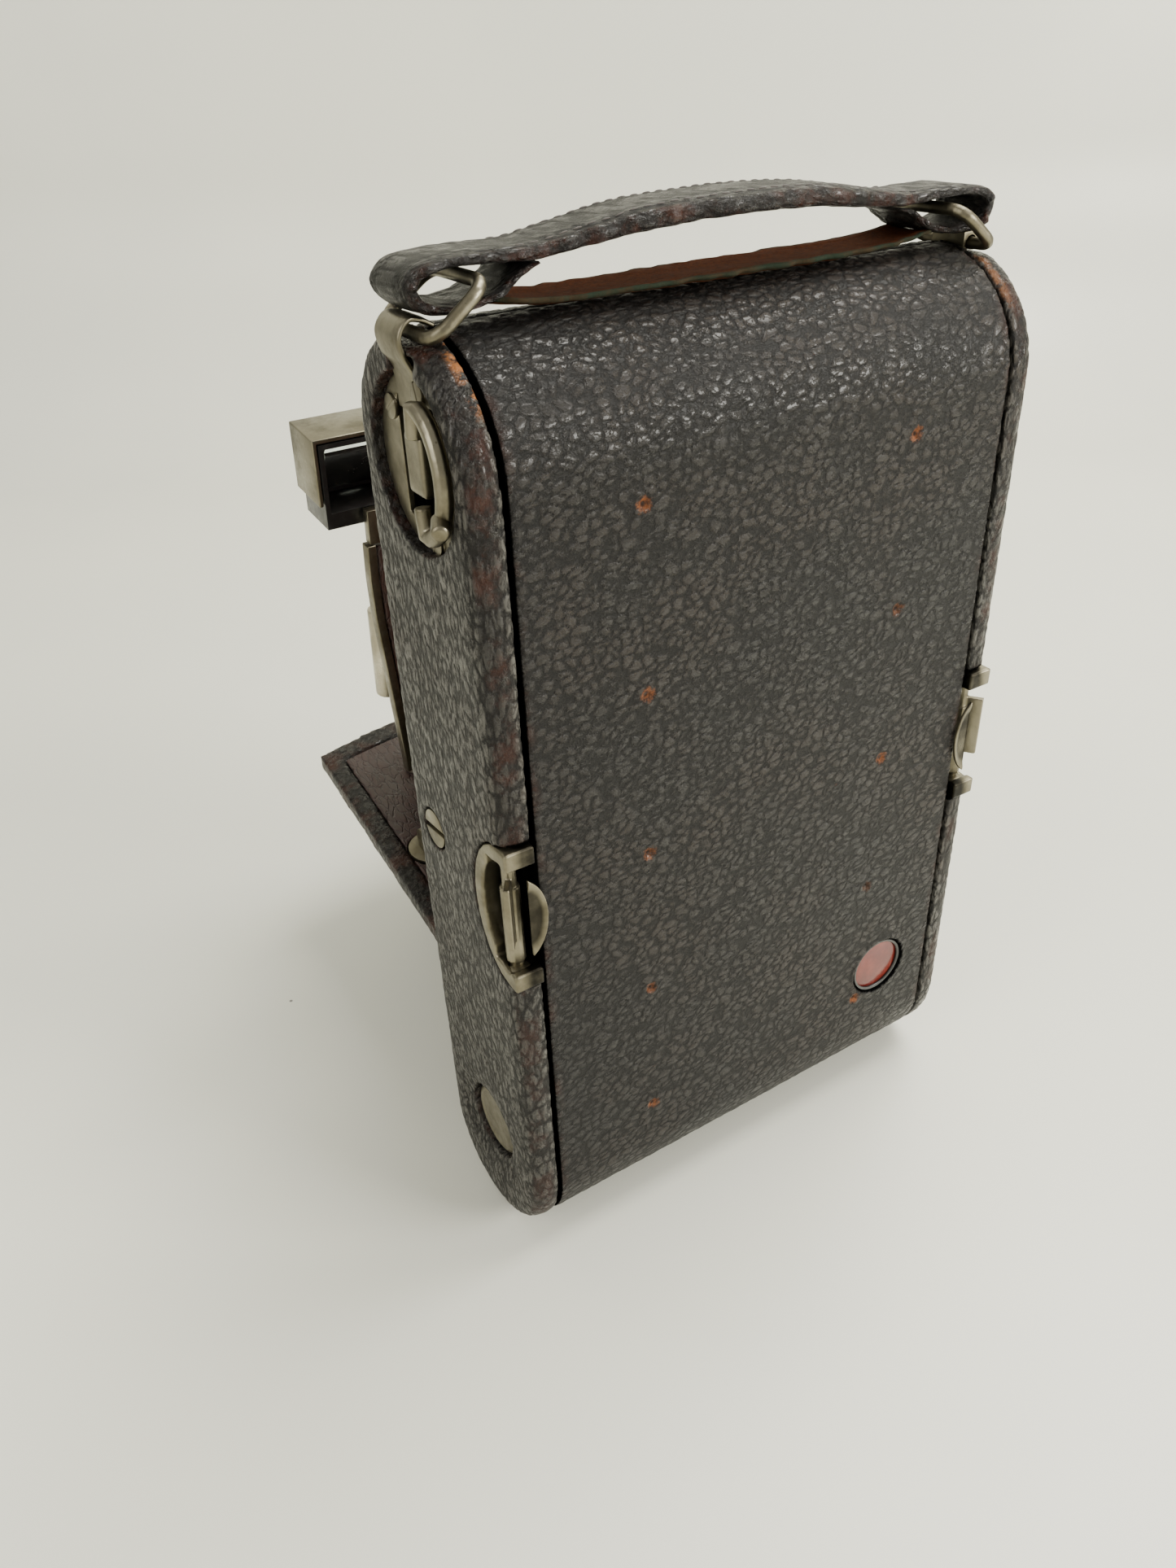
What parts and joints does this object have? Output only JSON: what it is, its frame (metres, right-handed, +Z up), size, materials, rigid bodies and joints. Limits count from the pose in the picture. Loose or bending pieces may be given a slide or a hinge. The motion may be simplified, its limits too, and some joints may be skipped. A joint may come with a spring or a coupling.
{
  "type": "folding roll-film camera",
  "caption": "Upright folding roll-film camera with drop bed, bellows, lens standard, reversible finder, lift-off back, winding key and carrying strap.",
  "frame": {"origin": "middle of the bounding box, on the surface that the camera stands on", "axes": "+Z up along the body, +Y out of the removable back, -Y towards the lens, +X towards the winding key"},
  "size_m": [0.123, 0.1532, 0.2112],
  "materials": {
    "body_leather": "pebbled black leather, worn brown at the edges",
    "strap_leather": "dark brown leather, creased",
    "maroon_leather": "maroon leather",
    "nickel": "tarnished nickel plate, satin",
    "brass": "aged brass",
    "black_paint": "black enamel",
    "dark_wood": "dark varnished wood",
    "lens_glass": "clear polished glass",
    "silvered_mirror": "silvered glass",
    "ruby_window": "ruby celluloid, glossy"
  },
  "bodies": {
    "root": {"side_shell_left": "body_leather", "side_shell_right": "body_leather", "front_panel_upper": "body_leather", "front_panel_lower": "body_leather", "film_frame": "black_paint", "tripod_plug_screw": "nickel", "key_plate": "nickel", "latch_frame_left": "nickel", "latch_frame_right": "nickel", "ring_bracket_left": "nickel", "ring_bracket_right": "nickel", "handle_strap": "strap_leather", "bed_board": "body_leather", "bed_lining": "maroon_leather", "bed_track": "nickel", "distance_scale": "nickel", "bed_hinge_pin": "nickel", "leg_hinge": "nickel", "bed_strut_left": "nickel", "bed_strut_right": "nickel", "bellows": "maroon_leather"},
    "standard": {"focus_carriage": "nickel", "standard_frame": "nickel", "lens_board": "maroon_leather", "bellows_front_frame": "black_paint", "shutter_case": "black_paint", "shutter_face_ring": "nickel", "lens_barrel": "brass", "front_lens_glass": "lens_glass", "rear_lens_glass": "lens_glass", "shutter_cylinder_left": "nickel", "shutter_cylinder_right": "nickel", "finder_bracket": "nickel"},
    "finder": {"finder_body": "black_paint", "finder_hood": "nickel", "finder_front_lens": "lens_glass", "finder_mirror": "silvered_mirror"},
    "speed_dial": {"speed_dial": "nickel"},
    "aperture_lever": {"aperture_lever": "nickel"},
    "release_lever": {"release_lever": "nickel"},
    "focus_clamp_left": {"focus_clamp_left": "nickel"},
    "focus_clamp_right": {"focus_clamp_right": "nickel"},
    "back_cover": {"back_cover": "body_leather", "red_window": "ruby_window", "back_keeper_left": "nickel", "back_keeper_right": "nickel"},
    "winding_key": {"winding_key_hub": "nickel"},
    "key_bail": {"winding_key_bail": "nickel"},
    "take_up_spool": {"take_up_spool": "dark_wood"},
    "supply_spool": {"supply_spool": "dark_wood"},
    "film_roller_upper": {"film_roller_upper": "nickel"},
    "film_roller_lower": {"film_roller_lower": "nickel"},
    "spool_knob_lower_left": {"spool_knob_lower_left": "nickel"},
    "spool_knob_lower_right": {"spool_knob_lower_right": "nickel"},
    "spool_knob_upper_right": {"spool_knob_upper_right": "nickel"},
    "latch_lever_left": {"latch_lever_left": "nickel"},
    "latch_lever_right": {"latch_lever_right": "nickel"},
    "handle_ring_left": {"handle_ring_left": "nickel"},
    "handle_ring_right": {"handle_ring_right": "nickel"},
    "bed_leg": {"bed_leg": "nickel"}
  },
  "joints": [
    {"name": "focus_slide", "type": "slide", "parent": "root", "child": "standard", "axis": [0, 0.9945, -0.1045], "range_m": [-0.008, 0.056], "deforming": ["bellows"]},
    {"name": "finder_turn", "type": "hinge", "parent": "standard", "child": "finder", "pos_m": [0.0326, -0.03966, 0.13644], "axis": [0, 0.9945, -0.1045], "range_deg": [0, 90]},
    {"name": "speed_dial_turn", "type": "hinge", "parent": "standard", "child": "speed_dial", "pos_m": [0, -0.04543, 0.1294], "axis": [0, -0.9945, 0.1045], "range_deg": [-150, 150]},
    {"name": "aperture_turn", "type": "hinge", "parent": "standard", "child": "aperture_lever", "pos_m": [0, -0.05698, 0.09602], "axis": [0, -0.9945, 0.1045], "range_deg": [-35, 35]},
    {"name": "release_press", "type": "hinge", "parent": "standard", "child": "release_lever", "pos_m": [0.011, -0.04191, 0.12461], "axis": [0, 0.9945, -0.1045], "range_deg": [0, 8], "stiffness_Nm_per_rad": 0.05},
    {"name": "clamp_squeeze_left", "type": "slide", "parent": "standard", "child": "focus_clamp_left", "axis": [-1, 0, 0], "range_m": [0, 0.0015], "stiffness_N_per_m": 400},
    {"name": "clamp_squeeze_right", "type": "slide", "parent": "standard", "child": "focus_clamp_right", "axis": [1, 0, 0], "range_m": [0, 0.0015], "stiffness_N_per_m": 400},
    {"name": "key_turn", "type": "hinge", "parent": "root", "child": "winding_key", "pos_m": [0.055, 0.0566, 0.1775], "axis": [1, 0, 0], "continuous": true},
    {"name": "key_bail_fold", "type": "hinge", "parent": "winding_key", "child": "key_bail", "pos_m": [0.0608, 0.0605, 0.1775], "axis": [0, 0, -1], "range_deg": [0, 95]},
    {"name": "take_up_spool_turn", "type": "hinge", "parent": "root", "child": "take_up_spool", "pos_m": [0, 0.0566, 0.1775], "axis": [1, 0, 0], "continuous": true},
    {"name": "supply_spool_turn", "type": "hinge", "parent": "root", "child": "supply_spool", "pos_m": [0, 0.0551, 0.0256], "axis": [1, 0, 0], "continuous": true},
    {"name": "upper_roller_turn", "type": "hinge", "parent": "root", "child": "film_roller_upper", "pos_m": [0, 0.0664, 0.1625], "axis": [1, 0, 0], "continuous": true},
    {"name": "lower_roller_turn", "type": "hinge", "parent": "root", "child": "film_roller_lower", "pos_m": [0, 0.0664, 0.0385], "axis": [1, 0, 0], "continuous": true},
    {"name": "knob_pull_lower_left", "type": "slide", "parent": "root", "child": "spool_knob_lower_left", "axis": [1, 0, 0], "range_m": [0, 0.0075]},
    {"name": "knob_pull_lower_right", "type": "slide", "parent": "root", "child": "spool_knob_lower_right", "axis": [-1, 0, 0], "range_m": [0, 0.0075]},
    {"name": "knob_pull_upper_right", "type": "slide", "parent": "root", "child": "spool_knob_upper_right", "axis": [-1, 0, 0], "range_m": [0, 0.0075]},
    {"name": "latch_turn_left", "type": "hinge", "parent": "root", "child": "latch_lever_left", "pos_m": [0.0576, 0.072, 0.095], "axis": [0, 0, 1], "range_deg": [-105, 5]},
    {"name": "latch_turn_right", "type": "hinge", "parent": "root", "child": "latch_lever_right", "pos_m": [-0.0576, 0.072, 0.095], "axis": [0, 0, -1], "range_deg": [-105, 5]},
    {"name": "back_cover_lift", "type": "slide", "parent": "root", "child": "back_cover", "axis": [0, 1, 0], "range_m": [0, 0.04]},
    {"name": "ring_swing_left", "type": "hinge", "parent": "root", "child": "handle_ring_left", "pos_m": [0.0574, 0.0546, 0.197], "axis": [0, 1, 0], "range_deg": [-6, 3.5]},
    {"name": "ring_swing_right", "type": "hinge", "parent": "root", "child": "handle_ring_right", "pos_m": [-0.0574, 0.0546, 0.197], "axis": [0, -1, 0], "range_deg": [-6, 3.5]},
    {"name": "bed_leg_fold", "type": "hinge", "parent": "root", "child": "bed_leg", "pos_m": [0, -0.06085, 0.04958], "axis": [1, 0, 0], "range_deg": [0, 86]}
  ],
  "couplings": [
    {"joint": "key_turn", "follows": "take_up_spool_turn", "ratio": 1},
    {"joint": "clamp_squeeze_right", "follows": "clamp_squeeze_left", "ratio": 1}
  ]
}
